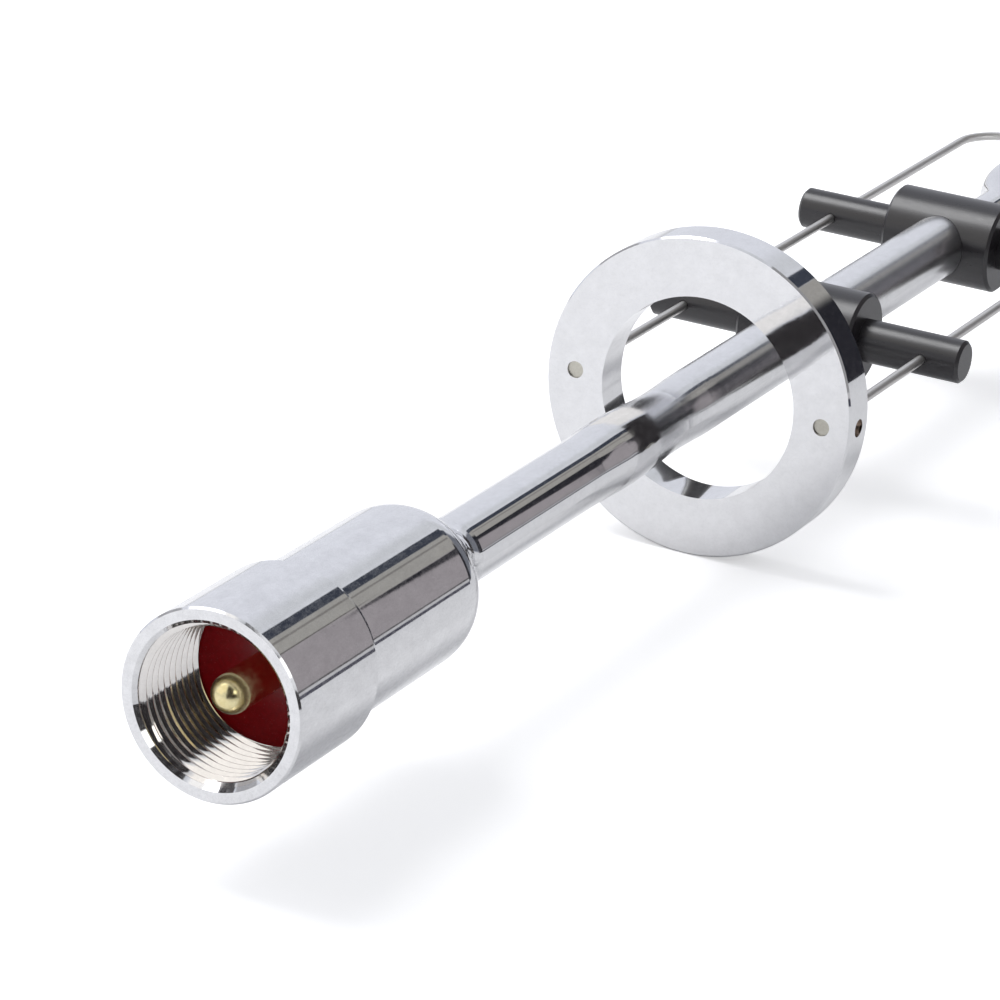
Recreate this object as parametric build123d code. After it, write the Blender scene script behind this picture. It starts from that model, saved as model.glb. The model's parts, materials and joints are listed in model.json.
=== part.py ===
"""Dual-band mobile antenna with a threaded coaxial connector at its foot.

The mast stands along +Z. The origin is the centre of the connector's mouth, which lies
in the plane z = 0. The two side wires and the arms of the spacers lie in the XZ plane.
All sizes are in millimetres.
"""
import os
from math import atan, radians, sin, tan

from build123d import *

# Clearances
slide_gap = 0.02              # radial play of pieces pushed into each other
wire_hole_gap = 0.08          # radial play of the side wires in their holes
seat_lip = 0.2                # wall left where a turned neck ends on the tube it holds

# Connector shell, outside
barrel_radius = 9.55
barrel_length = 14.6
barrel_edge = 0.2
step_angle = 30.0             # slope of the cone between the barrel and the rear body, in degrees
rear_radius = 8.48
rear_length = 19.5
shoulder_round = 6.0
neck_length = 11.4

# Connector shell, inside: 5/8 inch by 24 thread, bored to its major diameter
thread_radius = 7.94
mouth_radius = 8.33
thread_length = 11.1
cavity_radius = 6.6
back_wall = 3.0
back_wall_start = 1.0         # how far the cavity ends before the shoulder begins

# Centre contact and its disc
pin_radius = 1.98
pin_recess = 2.0
shank_radius = 1.5            # the pin inside its disc, behind the shoulder
disc_thickness = 3.0
collar_radius = 3.2
collar_thickness = 1.2
tail_radius = 0.9
tail_length = 3.0

# Matching coil
core_radius = 3.2
flange_thickness = 1.2
coil_wire_side = 0.9          # square wire
coil_turns = 7
lead_gap = 1.5                # bare core between each flange and the winding

# Mast tube and what runs inside it
mast_radius = 3.75
mast_bore = 1.6
mast_top = 187.5
mast_edge = 0.3
rod_radius = 0.8
swell_radius = 3.95
waist_radius = 3.56
swell_start = 76.0
swell_length = 9.0
waist_length = 12.0
waist_blend = 9.0

# Tuning ring with its ferrules and grub screws
ring_front = 106.8
ring_radius = 18.3
ring_hole = 11.55
ring_thickness = 5.0
ring_edge = 0.2
ferrule_radius = 0.95
ferrule_recess = 0.25         # the ferrules' closed ends lie this far under the ring's front face
ferrule_front = 1.0           # thickness of a ferrule's closed end
screw_radius = 1.0
screw_length = 2.0
hex_flats = 0.9
hex_depth = 1.0

# Side wires
wire_radius = 0.55
wire_offset = 14.9
wire_bend = 7.0
wire_top = 230.0
wire_seat = 2.0               # how deep each wire goes into the upper sleeve

# Spacers
spacer_heights = {"lower_spacer": 138.0, "upper_spacer": 181.7}
hub_radius = 5.4
hub_half = 7.0
arm_radius = 2.5
arm_reach = 19.4
spacer_edge = 0.35

# Upper sleeve, insulating collar and whip socket
spigot_radius = 2.5           # the sleeve's neck, which goes down into the mast's top
spigot_depth = 10.0
sleeve_flare_start = 197.0
sleeve_flare = 8.5
sleeve_radius = 4.6
sleeve_above_wires = 6.0
sleeve_edge = 0.4
gap_length = 6.0
gap_groove = 0.5
socket_length = 22.0
socket_taper = 7.0
socket_nose = 2.7
rod_in_socket = 6.0
whip_screw_radius = 1.5
whip_screw_inset = 0.3
whip_screw_first = 4.0        # height of the first screw above the whip's lower end
whip_screw_pitch = 4.6

# Whip
whip_radius = 1.4
whip_in_socket = 13.5
whip_length = 274.0
cap_radius = 2.3
cap_length = 12.0
cap_overlap = 6.0

# Heights worked out from the sizes above
step_length = (barrel_radius - rear_radius) / tan(radians(step_angle))
rear_start = barrel_length + step_length
rear_end = rear_start + rear_length
neck_radius = mast_radius + seat_lip
neck_end = rear_end + neck_length
disc_back = thread_length + disc_thickness
cavity_end = rear_end - back_wall_start
mast_start = cavity_end + back_wall
former_start = disc_back + collar_thickness
coil_radius = core_radius + coil_wire_side / 2 + slide_gap
coil_start = former_start + flange_thickness + lead_gap
coil_height = cavity_end - flange_thickness - lead_gap - coil_start
rod_start = former_start + tail_length + lead_gap
ring_middle = ring_front + ring_thickness / 2
ferrule_start = ring_front + ferrule_recess
wire_start = ferrule_start + ferrule_front
spigot_start = mast_top - spigot_depth
sleeve_end = wire_top + sleeve_above_wires
socket_start = sleeve_end + gap_length
socket_end = socket_start + socket_length
whip_start = socket_end - whip_in_socket
whip_end = whip_start + whip_length


def s_bend(start, end, first_round=None):
    """Two tangent arcs from start to end, both (radius, height), vertical at each end."""
    across, along = end[0] - start[0], end[1] - start[1]
    turn = 2 * atan(abs(across) / along)
    both_rounds = along / sin(turn)
    share = 0.5 if first_round is None else first_round / both_rounds
    middle = (start[0] + across * share, start[1] + along * share)
    return [TangentArc(start, middle, tangent=(0, 1)), TangentArc(end, middle, tangent=(0, -1))]


def turned(edges):
    """A solid turned about the Z axis from a closed outline of (radius, height) edges."""
    return revolve(Plane.XZ * make_face(edges), Axis.Z)


def rod(radius, low, high):
    """A plain round bar on the Z axis between two heights."""
    return Pos(0, 0, low) * Cylinder(radius, high - low, align=(Align.CENTER, Align.CENTER, Align.MIN))


def drill_x(radius, low, high, height, y=0.0):
    """A round bar along X between two x values, at a height."""
    place = Pos(low, y, height) * Rot(0, 90, 0)
    return place * Cylinder(radius, high - low, align=(Align.CENTER, Align.CENTER, Align.MIN))


def grub_screw(radius, length):
    """A headless screw along +Z, its point at z = 0 and its hex socket at the other end."""
    body = rod(radius, 0, length)
    point = body.edges().sort_by(Axis.Z)[0]
    body = chamfer(point, radius * 0.25)
    socket = extrude(RegularPolygon(hex_flats / 2, 6, major_radius=False), hex_depth)
    return body - Pos(0, 0, length - hex_depth) * socket


def connector_shell():
    """One turned piece: barrel, cone, rear body, rounded shoulder and neck."""
    shoulder = s_bend((rear_radius, rear_end), (neck_radius, neck_end), shoulder_round)
    outline = [
        Polyline(
            (mast_radius + slide_gap, neck_end),
            (mast_radius + slide_gap, mast_start),
            (mast_bore, mast_start),
            (mast_bore, cavity_end),
            (cavity_radius, cavity_end),
            (cavity_radius, disc_back),
            (thread_radius, disc_back),
            (thread_radius, mouth_radius - thread_radius),
            (mouth_radius, 0),
            (barrel_radius - barrel_edge, 0),
            (barrel_radius, barrel_edge),
            (barrel_radius, barrel_length),
            (rear_radius, rear_start),
            (rear_radius, rear_end),
        ),
        *shoulder,
        Line((neck_radius, neck_end), (mast_radius + slide_gap, neck_end)),
    ]
    return turned(outline)


def centre_pin():
    """Round-nosed contact with a shoulder and a collar round the disc and a tail behind."""
    nose_end = pin_recess + pin_radius
    outline = [
        Line((0, former_start + tail_length), (0, pin_recess)),
        RadiusArc((0, pin_recess), (pin_radius, nose_end), -pin_radius),
        Polyline(
            (pin_radius, nose_end),
            (pin_radius, thread_length),
            (shank_radius, thread_length),
            (shank_radius, disc_back),
            (collar_radius, disc_back),
            (collar_radius, former_start),
            (tail_radius, former_start),
            (tail_radius, former_start + tail_length),
            (0, former_start + tail_length),
        ),
    ]
    return turned(outline)


def pin_insulator():
    """Disc at the bottom of the thread that holds the pin in the middle."""
    disc = rod(thread_radius - slide_gap, thread_length, disc_back)
    return disc - rod(shank_radius + slide_gap, thread_length, disc_back)


def coil_former():
    """Spool that fills the cavity behind the pin and centres the rod."""
    flange = cavity_radius - slide_gap
    spool = rod(core_radius, former_start, cavity_end)
    spool += rod(flange, former_start, former_start + flange_thickness)
    spool += rod(flange, cavity_end - flange_thickness, cavity_end)
    spool -= rod(tail_radius + slide_gap, former_start, rod_start)
    return spool - rod(rod_radius + slide_gap, rod_start, cavity_end)


def matching_coil():
    """Enamelled square wire wound on the former."""
    path = Helix(coil_height / coil_turns, coil_height, coil_radius)
    start = Plane(origin=path @ 0, x_dir=(1, 0, 0), z_dir=path % 0)
    section = start * Rectangle(coil_wire_side, coil_wire_side)
    return Pos(0, 0, coil_start) * sweep(section, path, is_frenet=True)


def feed_rod():
    """Inner conductor from the coil to the whip socket."""
    return rod(rod_radius, rod_start, socket_start + rod_in_socket)


def feed_insulation():
    """Sleeve that keeps the inner conductor off the mast tube."""
    tube = rod(mast_bore - slide_gap, cavity_end, sleeve_end)
    return tube - rod(rod_radius + slide_gap, cavity_end, sleeve_end)


def lower_mast():
    """Tube with a low swell and a waist below the ring, counterbored at its top."""
    swell_top = swell_start + swell_length
    waist = swell_top + waist_length
    blend_end = waist + waist_blend
    outline = [
        Polyline(
            (mast_radius, mast_top - mast_edge),
            (mast_radius - mast_edge, mast_top),
            (spigot_radius + slide_gap, mast_top),
            (spigot_radius + slide_gap, spigot_start),
            (mast_bore, spigot_start),
            (mast_bore, mast_start),
            (mast_radius, mast_start),
            (mast_radius, swell_start),
        ),
        *s_bend((mast_radius, swell_start), (swell_radius, swell_top)),
        *s_bend((swell_radius, swell_top), (waist_radius, waist)),
        *s_bend((waist_radius, waist), (mast_radius, blend_end)),
        Line((mast_radius, blend_end), (mast_radius, mast_top - mast_edge)),
    ]
    return turned(outline)


def tuning_ring():
    """Flat ring round the mast, drilled for the wires' ferrules and their grub screws."""
    disc = chamfer(rod(ring_radius, 0, ring_thickness).edges().filter_by(GeomType.CIRCLE), ring_edge)
    ring = Pos(0, 0, ring_front) * disc
    ring -= rod(ring_hole, ring_front, ring_front + ring_thickness)
    for side in (-1, 1):
        hole = rod(ferrule_radius + slide_gap, ring_front, ring_front + ring_thickness)
        ring -= Pos(side * wire_offset, 0, 0) * hole
        reach = sorted((side * wire_offset, side * ring_radius))
        ring -= drill_x(screw_radius + slide_gap, *reach, ring_middle)
    return ring


def wire_ferrules():
    """Two closed ferrules in the ring, each with the foot of a wire in it."""
    end = ring_front + ring_thickness
    ferrule = rod(ferrule_radius, ferrule_start, end) - rod(wire_radius + slide_gap, wire_start, end)
    return Compound(children=[Pos(side * wire_offset, 0, 0) * ferrule for side in (-1, 1)])


def ring_set_screws():
    """Two grub screws in the ring's rim, each with its point on a ferrule."""
    screws = []
    for side in (-1, 1):
        place = Pos(side * (wire_offset + ferrule_radius), 0, ring_middle) * Rot(0, side * 90, 0)
        screws.append(place * grub_screw(screw_radius, screw_length))
    return Compound(children=screws)


def side_wire(side):
    """Wire from its ferrule up past the spacers, bent in to the upper sleeve."""
    low = (side * wire_offset, 0, wire_start)
    bend_start = (side * wire_offset, 0, wire_top - wire_bend)
    bend_end = (side * (wire_offset - wire_bend), 0, wire_top)
    seat = (side * (sleeve_radius - wire_seat), 0, wire_top)
    bend = TangentArc(bend_start, bend_end, tangent=(0, 0, 1))
    path = Wire([Line(low, bend_start), bend, Line(bend_end, seat)])
    return sweep(Plane(origin=low, z_dir=(0, 0, 1)) * Circle(wire_radius), path)


def spacer(height):
    """Turned plastic cross bar: a stout hub on the mast and an arm out to each wire."""
    hub = drill_x(hub_radius, -hub_half, hub_half, height)
    hub = chamfer(hub.edges().filter_by(GeomType.CIRCLE), spacer_edge)
    arm = drill_x(arm_radius, -arm_reach, arm_reach, height)
    arm = chamfer(arm.edges().filter_by(GeomType.CIRCLE), spacer_edge)
    bar = hub + arm
    bar -= rod(mast_radius + slide_gap, height - hub_radius, height + hub_radius)
    wire_hole = rod(wire_radius + wire_hole_gap, height - arm_radius, height + arm_radius)
    for side in (-1, 1):
        bar -= Pos(side * wire_offset, 0, 0) * wire_hole
    return bar


def upper_sleeve():
    """Turned sleeve on a thin neck that takes the upper ends of the wires."""
    flare_end = sleeve_flare_start + sleeve_flare
    outline = [
        Polyline(
            (sleeve_radius, flare_end),
            (sleeve_radius, sleeve_end - sleeve_edge),
            (sleeve_radius - sleeve_edge, sleeve_end),
            (mast_bore, sleeve_end),
            (mast_bore, spigot_start),
            (spigot_radius, spigot_start),
            (spigot_radius, sleeve_flare_start),
        ),
        *s_bend((spigot_radius, sleeve_flare_start), (sleeve_radius, flare_end)),
    ]
    sleeve = turned(outline)
    for side in (-1, 1):
        reach = sorted((side * (sleeve_radius - wire_seat), side * (sleeve_radius + 1)))
        sleeve -= drill_x(wire_radius + slide_gap, *reach, wire_top)
    return sleeve


def insulating_collar():
    """Plastic gap piece between the sleeve and the whip socket, with a shallow groove."""
    third = gap_length / 3
    collar = rod(sleeve_radius, sleeve_end, socket_start)
    groove = rod(sleeve_radius + 1, sleeve_end + third, socket_start - third)
    groove -= rod(sleeve_radius - gap_groove, sleeve_end + third, socket_start - third)
    return collar - groove - rod(rod_radius + slide_gap, sleeve_end, socket_start)


def whip_screw_heights():
    """Heights of the two screws that hold the whip."""
    first = whip_start + whip_screw_first
    return [first, first + whip_screw_pitch]


def whip_socket():
    """Turned socket with a tapered nose that holds the whip."""
    outline = [
        Polyline(
            (socket_nose, socket_end),
            (0, socket_end),
            (0, socket_start),
            (sleeve_radius - sleeve_edge, socket_start),
            (sleeve_radius, socket_start + sleeve_edge),
            (sleeve_radius, socket_end - socket_taper),
        ),
        *s_bend((sleeve_radius, socket_end - socket_taper), (socket_nose, socket_end)),
    ]
    socket = turned(outline)
    socket -= rod(rod_radius + slide_gap, socket_start, socket_start + rod_in_socket)
    socket -= rod(whip_radius + slide_gap, whip_start, socket_end)
    for height in whip_screw_heights():
        hole = Pos(0, 0, height) * Rot(90, 0, 0) * rod(whip_screw_radius + slide_gap, 0, sleeve_radius + 1)
        socket -= hole
    return socket


def whip_set_screws():
    """Two grub screws in the socket with their points on the whip."""
    length = sleeve_radius - whip_screw_inset - whip_radius
    screws = []
    for height in whip_screw_heights():
        place = Pos(0, -whip_radius, height) * Rot(90, 0, 0)
        screws.append(place * grub_screw(whip_screw_radius, length))
    return Compound(children=screws)


def whip():
    """Spring steel rod."""
    return rod(whip_radius, whip_start, whip_end)


def whip_cap():
    """Round-ended cap on the whip's tip."""
    low = whip_end - cap_overlap
    high = low + cap_length
    outline = [
        Polyline((0, high), (0, low), (cap_radius, low), (cap_radius, high - cap_radius)),
        RadiusArc((cap_radius, high - cap_radius), (0, high), -cap_radius),
    ]
    return turned(outline) - rod(whip_radius + slide_gap, low, whip_end)


nodes = {
    "connector_shell": connector_shell(),
    "centre_pin": centre_pin(),
    "pin_insulator": pin_insulator(),
    "coil_former": coil_former(),
    "matching_coil": matching_coil(),
    "feed_rod": feed_rod(),
    "feed_insulation": feed_insulation(),
    "lower_mast": lower_mast(),
    "tuning_ring": tuning_ring(),
    "wire_ferrules": wire_ferrules(),
    "ring_set_screws": ring_set_screws(),
    "left_wire": side_wire(-1),
    "right_wire": side_wire(1),
    "upper_sleeve": upper_sleeve(),
    "insulating_collar": insulating_collar(),
    "whip_socket": whip_socket(),
    "whip_set_screws": whip_set_screws(),
    "whip": whip(),
    "whip_cap": whip_cap(),
}
for name, height in spacer_heights.items():
    nodes[name] = spacer(height)

os.makedirs("parts", exist_ok=True)
for name, shape in nodes.items():
    export_step(shape, f"parts/{name}.step")
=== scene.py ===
"""Looks of the dual-band mobile antenna: finishes, the fine thread, studio and camera.

Lengths are in metres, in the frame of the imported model, unless a comment says mm. +Z runs up
the mast, and the connector's mouth lies in the plane z = 0. In the photograph the antenna lies
on a white table, so the table is a plane with its normal along -Y.
"""
import json
import math

import bpy
from mathutils import Matrix, Vector


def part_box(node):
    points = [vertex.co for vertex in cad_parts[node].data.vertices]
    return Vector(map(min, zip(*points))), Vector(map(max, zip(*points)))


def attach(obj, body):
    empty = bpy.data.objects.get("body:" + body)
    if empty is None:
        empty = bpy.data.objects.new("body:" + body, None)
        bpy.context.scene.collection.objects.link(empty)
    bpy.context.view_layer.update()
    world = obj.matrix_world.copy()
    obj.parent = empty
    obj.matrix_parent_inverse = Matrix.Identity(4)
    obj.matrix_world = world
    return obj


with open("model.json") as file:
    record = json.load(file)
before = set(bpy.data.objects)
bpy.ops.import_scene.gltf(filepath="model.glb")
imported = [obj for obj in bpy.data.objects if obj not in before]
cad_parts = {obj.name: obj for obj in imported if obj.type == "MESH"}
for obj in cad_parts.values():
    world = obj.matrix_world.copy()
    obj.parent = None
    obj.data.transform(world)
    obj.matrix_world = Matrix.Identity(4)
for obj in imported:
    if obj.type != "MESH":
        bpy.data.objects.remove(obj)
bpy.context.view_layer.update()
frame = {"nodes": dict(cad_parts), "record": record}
nodes = frame["nodes"]

MM = 0.001

# Camera, recovered from the photograph. Its sensor and lens are in mm
CAMERA_PLACE = Vector((194.6, -173.9, -355.9)) * MM
CAMERA_RIGHT = Vector((0.890, -0.077, 0.450))
CAMERA_UP = Vector((-0.223, -0.933, 0.281))
CAMERA_SENSOR = 36.0
CAMERA_LENS = 173.8
CLIP_NEAR = 0.01
CLIP_FAR = 20.0

# Fine thread in the mouth, 5/8 inch by 24
THREAD_PITCH = 25.4 / 24 * MM
THREAD_MINOR = 7.365 * MM      # radius that the rounded crests nearly reach
THREAD_START = 0.1 * MM        # how far behind the rim the turns begin
THREAD_PAST_DISC = 0.25 * MM   # how far they run on behind the front of the red disc
THREAD_STEPS = 160             # straight steps to a turn
DISC_PLAY = 0.02 * MM          # between the red disc and the wall of the bore
MOUTH_RADIUS = 8.33 * MM       # where the mouth's 45 degree bevel meets the rim
BEHIND_BEVEL = 0.02 * MM       # how far the turns are cut back behind that bevel

# Half a turn as (share of the pitch, height as a share of the depth): a flank near 60 degrees
# that rounds off towards the crest. The other half is its mirror image.
THREAD_FLANK = [
    (0.0, 0.0), (0.115, 0.0), (0.12, 0.01), (0.21, 0.34), (0.322, 0.67), (0.448, 0.97), (0.455, 0.985),
]
THREAD_CREST = 0.475           # share of the pitch at which the mirror lies

# Table, with its sides as seen in the photograph's reflections
TABLE_LEFT, TABLE_RIGHT = -3.0, 0.19
TABLE_FRONT, TABLE_BACK = -0.10, 3.0
# The table greys towards +X: painted shade, so that the chrome mirrors less light from that side
TABLE_COLOURS_PAINTED_SHADE = [              # place along X and colour there
    (-0.015, (0.95, 0.95, 0.955)),
    (0.035, (0.74, 0.74, 0.745)),
]
TABLE_GLOW = 0.41              # added for the camera alone, so that the table shows white

# Soft lamp above and to the left, which throws the shadow
LAMP_PLACE = Vector((-0.44, -0.88, 0.08))
LAMP_AIM = Vector((0.0, 0.0, 0.04))
LAMP_SIZE = 0.50
LAMP_POWER = 4.6

# Surroundings for diffuse rays, for the camera, and for mirrored rays where no card stands
PLAIN_LIGHT = (0.60, 0.61, 0.64)
BACKDROP_WHITE = (1.0, 1.0, 1.0)
SIDE_WHITE = (0.79, 0.81, 0.88)

ROOM_GREY = (0.33, 0.33, 0.34)
ROOM_DARK = (0.024, 0.021, 0.023)
GAP_DARK = (0.020, 0.020, 0.026)
BROWN = (0.345, 0.32, 0.335)

# Cards that the chrome mirrors, each over those before it. Each spans, in degrees, from its low
# to its high elevation above the plane z = 0 and, at each of these, from a left to a right
# azimuth about Z from +X. Then come its colour and the softness of its sides in degrees, which
# is one number or a pair for left and right.
CARDS = [
    ("left shade", (-60, 90), (-99, -80), (-99, -80), (0.66, 0.68, 0.72), 9),
    ("right side of the room", (-30, 59.4), (-80, 0), (-80, 0), ROOM_GREY, 0.6),
    ("dark post", (20, 66), (-80, -69), (-80, -69), (0.045, 0.052, 0.072), 0.7),
    ("olive panel", (20, 66), (-69, -45.5), (-69, -45.5), (0.37, 0.36, 0.34), 0.7),
    ("olive panel, top", (59.4, 61.8), (-69, -48), (-69, -48), (0.24, 0.235, 0.23), 0.7),
    ("olive panel's seam", (20, 59.4), (-64, -61.5), (-64, -61.5), (0.22, 0.21, 0.20), 0.7),
    ("brown panel", (20, 59.4), (-45.5, -2.5), (-45.5, -2.5), BROWN, 0.7),
    ("brown panel, low", (20, 55.87), (-49, -44), (-49, -44), BROWN, 0.5),
    ("thin gap", (20, 55.87), (-49.7, -48.4), (-49.7, -48.4), (0.10, 0.095, 0.09), 0.5),
    ("gap, narrow", (55.87, 57), (-46.2, -43.2), (-44.7, -37.2), GAP_DARK, 0.7),
    ("gap, middle", (57, 59.4), (-44.7, -37.2), (-49, -25), GAP_DARK, (0.8, 1.5)),
    ("gap, top", (59.3, 65), (-50, 4), (-54, 41), GAP_DARK, (5, 12)),
    ("dusk over the panels", (65, 82), (-75, 5), (-75, 5), (0.17, 0.18, 0.21), 6),
    ("edge, first line", (20, 59.4), (-2.5, -0.5), (-2.5, -0.5), (0.10, 0.095, 0.10), 0.4),
    ("edge, light line", (-30, 59.4), (-0.5, 2.7), (-0.5, 2.7), (0.55, 0.55, 0.57), 0.4),
    ("edge, last line", (-30, 59.4), (2.7, 6.9), (2.7, 6.9), (0.07, 0.07, 0.095), 0.4),
    ("dark room behind the camera", (-52, -30), (-94, 9), (-94, 9), ROOM_DARK, 0.8),
    ("dark floor before the table", (-90, -52), (-94, 100), (-94, 100), ROOM_DARK, 0.8),
    ("low white card", (-66, -24), (-176, -100), (-176, -100), (1.12, 1.10, 1.08), 4),
    ("bright strip over the dark room", (-35.3, -30), (-64, -19), (-90, 2), (0.86, 0.87, 0.90), 0.6),
    ("window", (-45, -29), (-45, -24), (-45, -24), (1.8, 1.8, 1.75), 1.2),
    ("light under the lamp", (-25, -9), (-140, -112), (-140, -112), (2.3, 2.3, 2.4), 3),
    ("low dark card", (-19.5, -13.1), (-139, -128.6), (-153.6, -143.2), ROOM_DARK, 0.8),
    ("low grey card", (-16, 4), (-166, -147), (-166, -147), (0.42, 0.42, 0.44), 1.2),
]
CARD_END = 0.1                 # softness of their lower and upper ends, in degrees


class Tree:
    """Short calls that build the node tree of a material or of the world."""

    def __init__(self, owner):
        owner.use_nodes = True
        self.nodes = owner.node_tree.nodes
        self.links = owner.node_tree.links

    def feed(self, node, values):
        """Feeds inputs, by name or place, with another node's output, a colour or plain numbers."""
        for key, value in values.items():
            socket = node.inputs[key]
            if isinstance(value, bpy.types.NodeSocket):
                self.links.new(value, socket)
            elif socket.type == "RGBA":
                socket.default_value = (*value, 1.0)
            else:
                socket.default_value = value

    def add(self, kind, values=None, **props):
        """A new node with its properties set and its inputs fed."""
        node = self.nodes.new(kind)
        for key, value in props.items():
            setattr(node, key, value)
        self.feed(node, values or {})
        return node

    def maths(self, kind, *values):
        return self.add("ShaderNodeMath", dict(enumerate(values)), operation=kind).outputs[0]

    def axes(self, place):
        """The outputs X, Y and Z of a place or direction."""
        return self.add("ShaderNodeSeparateXYZ", {0: place}).outputs

    def between(self, value, low, high, start=0.3, end=0.7, way="LINEAR"):
        """Number that runs from low to high as value runs from start to end."""
        values = {"Value": value, "From Min": start, "From Max": end, "To Min": low, "To Max": high}
        return self.add("ShaderNodeMapRange", values, interpolation_type=way).outputs["Result"]

    def blend(self, share, first, second, label=""):
        """Colour that runs from the first to the second as share runs from 0 to 1."""
        values = {"Factor": share, "A": first, "B": second}
        return self.add("ShaderNodeMix", values, data_type="RGBA", label=label).outputs["Result"]

    def choose(self, share, first, second):
        """The first shader where share is 0 and the second where it is 1."""
        return self.add("ShaderNodeMixShader", {"Fac": share, 1: first, 2: second}).outputs[0]


class Finish(Tree):
    """A new material with a Principled shader."""

    def __init__(self, name, values):
        self.material = bpy.data.materials.new(name)
        super().__init__(self.material)
        self.shader = self.nodes["Principled BSDF"]
        self.place = self.add("ShaderNodeTexCoord").outputs["Object"]
        self.set(values)

    def set(self, values):
        self.feed(self.shader, values)

    def noise(self, features, detail=3, rough=0.55):
        """Noise of that many features to the millimetre on each axis."""
        stretch = {"Vector": self.place, "Scale": [number / MM for number in features]}
        place = self.add("ShaderNodeMapping", stretch).outputs["Vector"]
        values = {"Vector": place, "Scale": 1.0, "Detail": detail, "Roughness": rough}
        return self.add("ShaderNodeTexNoise", values).outputs["Fac"]

    def shades(self, value, dark, tint, start=0.3, end=0.7):
        """Colour that runs from dark to tint as value runs from start to end."""
        node = self.add("ShaderNodeValToRGB", {"Fac": value})
        for element, at, colour in zip(node.color_ramp.elements, (start, end), (dark, tint)):
            element.position = at
            element.color = (*colour, 1.0)
        return node.outputs["Color"]

    def bump(self, height, strength, depth):
        """Relief up to depth mm deep, weakened to that strength."""
        values = {"Height": height, "Strength": strength, "Distance": depth * MM}
        self.set({"Normal": self.add("ShaderNodeBump", values).outputs["Normal"]})


def chrome(name, rough=(0.03, 0.06), tint=(0.83, 0.83, 0.84), smears=0.09, haze=0.18, softer=None):
    """Bright plate with faint smears, a very slight waviness and a thin haze of fine scuffs.

    smears is how much of the tint they take away, and haze the most that the scuffs cover.
    softer = (start, end, extra): the polish gets less keen along Z from start to end, in mm.
    """
    finish = Finish(name, {"Metallic": 1.0, "Coat Roughness": 0.4, "Coat IOR": 2.3})
    smear = finish.noise((0.7, 0.7, 0.4), detail=10, rough=0.8)
    dark = tuple(part * (1 - smears) for part in tint)
    roughness = finish.between(finish.noise((1.2, 1.2, 0.8), detail=5), *rough)
    if softer:
        start, end, extra = softer
        height = finish.axes(finish.place)["Z"]
        more = finish.between(height, 0.0, extra, start * MM, end * MM)
        roughness = finish.maths("ADD", roughness, more)
    scuffs = finish.noise((2.0, 2.0, 1.0), detail=7, rough=0.8)
    finish.set({
        "Base Color": finish.shades(smear, dark, tint, start=0.36, end=0.64),
        "Roughness": roughness,
        "Coat Weight": finish.between(scuffs, 0.0, haze, start=0.43, end=0.6),
    })
    finish.bump(finish.noise((0.9, 0.9, 0.7)), strength=0.08, depth=0.02)
    return finish.material


def brushed(name, tint, dark, rough=(0.25, 0.4), grain=(9.0, 9.0, 0.15)):
    """Drawn or turned metal with fine lines along the grain."""
    finish = Finish(name, {"Metallic": 1.0})
    lines = finish.noise(grain, detail=4, rough=0.7)
    finish.set({
        "Base Color": finish.shades(lines, dark, tint),
        "Roughness": finish.between(lines, *rough),
    })
    finish.bump(lines, strength=0.15, depth=0.02)
    return finish.material


def plastic(name, tint, dark, rough=(0.35, 0.5), grain=(2.5, 2.5, 2.5), bump=0.1, index=1.5):
    """Plastic with a slight mottle and a fine surface."""
    finish = Finish(name, {"IOR": index})
    mottle = finish.noise(grain, detail=5)
    fine = finish.noise([3 * number for number in grain])
    finish.set({
        "Base Color": finish.shades(mottle, dark, tint),
        "Roughness": finish.between(fine, *rough),
    })
    finish.bump(mottle, strength=bump, depth=0.03)
    return finish.material


finishes = {
    "chrome": chrome("chrome_plate"),
    "shell_chrome": chrome("chrome_shell", tint=(0.85, 0.85, 0.86), smears=0.15, haze=0.75),
    "mast_chrome": chrome("chrome_tube", haze=0.3, softer=(72, 135, 0.19)),
    # The thread's warm tint is painted reflection of the red disc's light in the bore
    "thread_chrome": chrome("chrome_thread_painted_reflection", rough=(0.05, 0.09), tint=(0.86, 0.83, 0.80), haze=0.4),
    "brass": brushed(
        "pin_brass", (0.92, 0.83, 0.50), (0.72, 0.61, 0.30), rough=(0.16, 0.28), grain=(1.1, 1.1, 1.1),
    ),
    "red_disc": plastic(
        "red_disc_plastic", (0.40, 0.006, 0.010), (0.31, 0.005, 0.008),
        rough=(0.2, 0.28), bump=0.02, index=1.65,
    ),
    "black_plastic": plastic(
        "black_satin_plastic", (0.010, 0.008, 0.010), (0.006, 0.005, 0.007),
        rough=(0.27, 0.34), grain=(0.3, 3.0, 3.0), bump=0.03, index=1.64,
    ),
    "white_plastic": plastic("white_plain_plastic", (0.80, 0.80, 0.77), (0.72, 0.72, 0.70)),
    "wire_steel": brushed("wire_drawn_steel", (0.74, 0.73, 0.71), (0.62, 0.61, 0.59), rough=(0.34, 0.46)),
    "whip_steel": brushed("whip_drawn_steel", (0.62, 0.62, 0.63), (0.52, 0.52, 0.53), rough=(0.18, 0.3)),
    "copper": brushed(
        "coil_copper", (0.62, 0.26, 0.12), (0.5, 0.2, 0.09), rough=(0.2, 0.3), grain=(3.0, 3.0, 3.0),
    ),
    "ferrule_metal": brushed(
        "ferrule_tinned", (0.62, 0.60, 0.53), (0.50, 0.48, 0.42), rough=(0.3, 0.45), grain=(3.0, 3.0, 3.0),
    ),
    "screw_brass": brushed(
        "screw_dark_brass", (0.34, 0.22, 0.14), (0.22, 0.14, 0.09), grain=(4.0, 4.0, 4.0),
    ),
    "screw_steel": brushed(
        "screw_black_steel", (0.16, 0.16, 0.17), (0.1, 0.1, 0.11), grain=(4.0, 4.0, 4.0),
    ),
    "black_rubber": plastic("cap_rubber", (0.03, 0.03, 0.03), (0.02, 0.02, 0.02), rough=(0.45, 0.6)),
}

# Nodes with a finish of their own within their material slot
OWN_FINISH = {"connector_shell": "shell_chrome", "lower_mast": "mast_chrome"}


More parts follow.
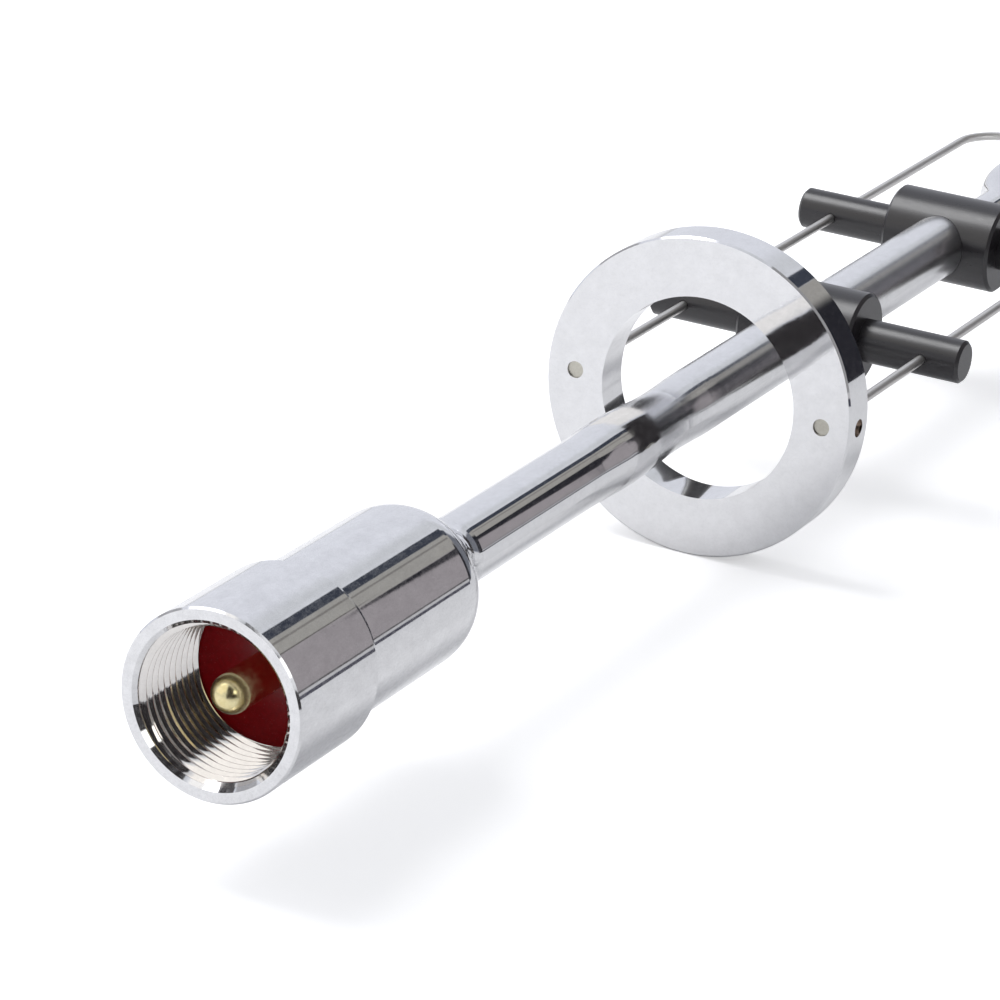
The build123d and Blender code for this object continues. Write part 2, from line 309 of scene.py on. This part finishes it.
def dress_nodes():
    """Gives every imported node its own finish, or else that of its material slot."""
    for part in frame["record"]["subparts"]:
        materials = nodes[part["node"]].data.materials
        materials.clear()
        finish = OWN_FINISH.get(part["node"], part["material_slot"])
        materials.append(finishes[finish])


def new_object(name, data):
    """An object in the scene that carries these data."""
    thing = bpy.data.objects.new(name, data)
    bpy.context.scene.collection.objects.link(thing)
    return thing


def new_mesh(name, verts, faces, material):
    mesh = bpy.data.meshes.new(name)
    mesh.from_pydata(verts, [], faces)
    mesh.update()
    mesh.materials.append(material)
    return mesh


def add_piece(mesh):
    """A new piece on the antenna's one body."""
    mesh.shade_smooth()
    piece = new_object(mesh.name, mesh)
    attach(piece, "root")
    return piece


def mouth_thread():
    """Turns of the fine thread on the wall of the connector's bore, cut back by the mouth's bevel."""
    disc_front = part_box("pin_insulator")[0].z
    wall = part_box("pin_insulator")[1].x + DISC_PLAY
    last = disc_front + THREAD_PAST_DISC
    falling = [(2 * THREAD_CREST - along, height) for along, height in reversed(THREAD_FLANK[1:])]
    outline = THREAD_FLANK + falling + [(1.0, 0.0)]
    across = len(outline)
    steps = THREAD_STEPS * (math.ceil((last - THREAD_START) / THREAD_PITCH) + 1)
    verts, faces = [], []
    for i in range(steps + 1):
        turn = i / THREAD_STEPS
        angle = 2 * math.pi * turn
        for along, height in outline:
            z = min(max((turn + along - 1) * THREAD_PITCH, THREAD_START), last)
            bevel = MOUTH_RADIUS - z
            radius = max(wall - (wall - THREAD_MINOR) * height, bevel + BEHIND_BEVEL)
            verts.append((radius * math.cos(angle), radius * math.sin(angle), z))
    for i in range(steps):
        for j in range(across - 1):
            a = i * across + j
            faces.append((a, a + 1, a + across + 1, a + across))
    return add_piece(new_mesh("thread_turns", verts, faces, finishes["thread_chrome"]))


def table_white_painted_shade():
    """White with painted shade that greys it to the right, glows for the camera and is clear from behind.
    """
    material = bpy.data.materials.new("table_white_painted_shade")
    tree = Tree(material)
    tree.nodes.clear()
    (left, lit_colour), (right, painted_shade_colour) = TABLE_COLOURS_PAINTED_SHADE
    along = tree.axes(tree.add("ShaderNodeTexCoord").outputs["Object"])["X"]
    # Painted shade: the white greys towards +X
    colour = tree.blend(tree.between(along, 0.0, 1.0, left, right), lit_colour, painted_shade_colour)
    diffuse = tree.add("ShaderNodeBsdfDiffuse", {"Color": colour})
    seen = tree.add("ShaderNodeLightPath").outputs["Is Camera Ray"]
    glow = tree.add("ShaderNodeEmission", {"Strength": tree.maths("MULTIPLY", seen, TABLE_GLOW)})
    white = tree.add("ShaderNodeAddShader", {0: diffuse.outputs[0], 1: glow.outputs[0]})
    behind = tree.add("ShaderNodeNewGeometry").outputs["Backfacing"]
    clear = tree.add("ShaderNodeBsdfTransparent")
    surface = tree.choose(behind, white.outputs[0], clear.outputs[0])
    tree.add("ShaderNodeOutputMaterial", {"Surface": surface})
    return material


def table():
    """White table under the antenna, which the views from behind see through."""
    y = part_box("tuning_ring")[1].y
    corners = [
        (TABLE_LEFT, y, TABLE_FRONT),
        (TABLE_RIGHT, y, TABLE_FRONT),
        (TABLE_RIGHT, y, TABLE_BACK),
        (TABLE_LEFT, y, TABLE_BACK),
    ]
    top = new_object("table", new_mesh("table", corners, [(0, 1, 2, 3)], table_white_painted_shade()))
    return top


def surroundings():
    """White surroundings, with the cards for mirrored rays alone."""
    world = bpy.data.worlds.new("studio")
    bpy.context.scene.world = world
    tree = Tree(world)
    tree.nodes.clear()
    x, y, z = tree.axes(tree.add("ShaderNodeTexCoord").outputs["Generated"])
    azimuth = tree.maths("DEGREES", tree.maths("ARCTAN2", y, x))
    elevation = tree.maths("DEGREES", tree.maths("ARCSINE", z))

    def step(value, before, after):
        """Runs smoothly from 0 at before to 1 at after."""
        return tree.between(value, 0.0, 1.0, before, after, "SMOOTHSTEP")

    def side(low, high, edge_low, edge_high, before, after):
        """Step across an edge whose azimuth runs evenly from one elevation to the other."""
        slope = (edge_high - edge_low) / (high - low)
        level = azimuth if slope == 0 else tree.maths("MULTIPLY_ADD", elevation, -slope, azimuth)
        start = edge_low - slope * low
        return step(level, start + before, start + after)

    def background(colour):
        return tree.add("ShaderNodeBackground", {"Color": colour}).outputs[0]

    mirrored = SIDE_WHITE
    for name, (low, high), (left, right), (left_high, right_high), colour, soft in CARDS:
        soft_left, soft_right = soft if isinstance(soft, tuple) else (soft, soft)
        mask = side(low, high, left, left_high, -soft_left, soft_left)
        for edge in (
            side(low, high, right, right_high, soft_right, -soft_right),
            step(elevation, low - CARD_END, low + CARD_END),
            step(elevation, high + CARD_END, high - CARD_END),
        ):
            mask = tree.maths("MULTIPLY", mask, edge)
        mirrored = tree.blend(mask, mirrored, colour, label=name)

    path = tree.add("ShaderNodeLightPath")
    surface = background(mirrored)
    for ray, colour in (("Is Diffuse Ray", PLAIN_LIGHT), ("Is Camera Ray", BACKDROP_WHITE)):
        surface = tree.choose(path.outputs[ray], surface, background(colour))
    tree.add("ShaderNodeOutputWorld", {"Surface": surface})


def lamp():
    """The soft lamp."""
    light = bpy.data.lights.new("soft_box", "AREA")
    light.size = LAMP_SIZE
    light.energy = LAMP_POWER
    box = new_object("soft_box", light)
    box.location = LAMP_PLACE
    box.rotation_euler = (LAMP_AIM - LAMP_PLACE).to_track_quat("-Z", "Z").to_euler()


def camera():
    """The photograph's view."""
    data = bpy.data.cameras.new("camera")
    data.sensor_width = CAMERA_SENSOR
    data.lens = CAMERA_LENS
    data.clip_start = CLIP_NEAR
    data.clip_end = CLIP_FAR
    right = CAMERA_RIGHT.normalized()
    back = right.cross(CAMERA_UP).normalized()
    up = back.cross(right)
    turned = Matrix((right, up, back)).transposed().to_4x4()
    eye = new_object("camera", data)
    eye.matrix_world = Matrix.Translation(CAMERA_PLACE) @ turned
    bpy.context.scene.camera = eye


dress_nodes()
mouth_thread()
table()
surroundings()
lamp()
camera()
bpy.context.scene.view_settings.view_transform = "Standard"
